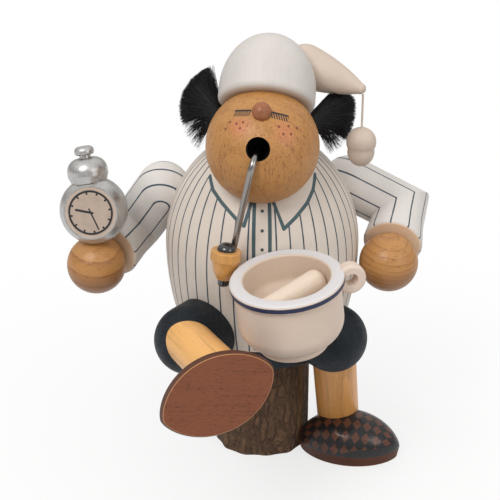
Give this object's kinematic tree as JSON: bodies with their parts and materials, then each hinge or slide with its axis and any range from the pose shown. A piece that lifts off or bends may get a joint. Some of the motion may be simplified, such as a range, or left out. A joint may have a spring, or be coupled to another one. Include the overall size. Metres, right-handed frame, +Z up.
{
  "type": "wooden incense smoker figure",
  "caption": "Turned wooden incense smoker: a stout figure in nightshirt and nightcap sitting on a log, with pipe, alarm clock and chamber pot; the hollow body lifts off its seat.",
  "frame": {"origin": "centre of the log's foot, on the floor", "axes": "+Z up, the figure faces -Y, +X towards the figure's left hand"},
  "size_m": [0.189, 0.1754, 0.2211],
  "materials": {
    "bark": "rough bark and dry end grain",
    "navy_stain": "matt navy stain with the grain showing",
    "shirt_paint": "satin off-white paint with fine stripes",
    "honey_beech": "clear satin lacquer",
    "nose_beech": "clear satin lacquer, darker",
    "pale_beech": "clear matt lacquer",
    "cap_paint": "satin white paint",
    "shoe_stain": "glossy brown stain with a black check",
    "pot_paint": "satin white paint with a blue line",
    "filling_paint": "matt white paint",
    "pompom_paint": "satin white paint",
    "bowl_stain": "satin yellow stain",
    "black_lacquer": "gloss black lacquer",
    "silver_paint": "metallic silver paint",
    "dial_paint": "printed dial, white with a black ring",
    "steel": "bright drawn wire",
    "plate_metal": "pressed sheet",
    "dowel": "plain dowel",
    "hair": "long black fur",
    "cord": "twisted cotton cord"
  },
  "bodies": {
    "base": {"log_stump": "bark", "seat_base": "navy_stain", "seat_peg": "dowel", "cone_plate": "plate_metal", "right_thigh": "navy_stain", "left_thigh": "navy_stain", "leg_pegs": "dowel", "right_shin": "pale_beech", "left_shin": "pale_beech", "right_shoe": "shoe_stain", "left_shoe": "shoe_stain"},
    "upper": {"body_shell": "shirt_paint", "neck_bush": "dowel", "head": "honey_beech", "nose": "nose_beech", "nightcap": "cap_paint", "cap_tail": "cap_paint", "tail_peg": "dowel", "right_hair": "hair", "left_hair": "hair", "pipe_stem": "steel", "pipe_bowl": "bowl_stain", "pipe_lid": "black_lacquer", "pipe_tip": "black_lacquer", "right_upper_arm": "shirt_paint", "left_upper_arm": "shirt_paint", "right_forearm": "shirt_paint", "left_forearm": "shirt_paint", "arm_pegs": "dowel", "right_hand": "honey_beech", "left_hand": "honey_beech", "clock_body": "silver_paint", "clock_dial": "dial_paint", "clock_bell": "silver_paint", "clock_knob": "silver_paint", "clock_peg": "dowel", "chamber_pot": "pot_paint", "pot_handle": "pot_paint", "pot_filling": "filling_paint", "pot_peg": "dowel"},
    "tassel": {"tassel_cord": "cord", "pompom": "pompom_paint"}
  },
  "joints": [
    {"name": "body_lift", "type": "slide", "parent": "base", "child": "upper", "axis": [0, 0, 1], "range_m": [0, 0.045]},
    {"name": "tassel_swing", "type": "hinge", "parent": "upper", "child": "tassel", "pos_m": [0.0477, -0.01191, 0.19201], "axis": [0, -1, 0], "range_deg": [-12, 60]}
  ]
}
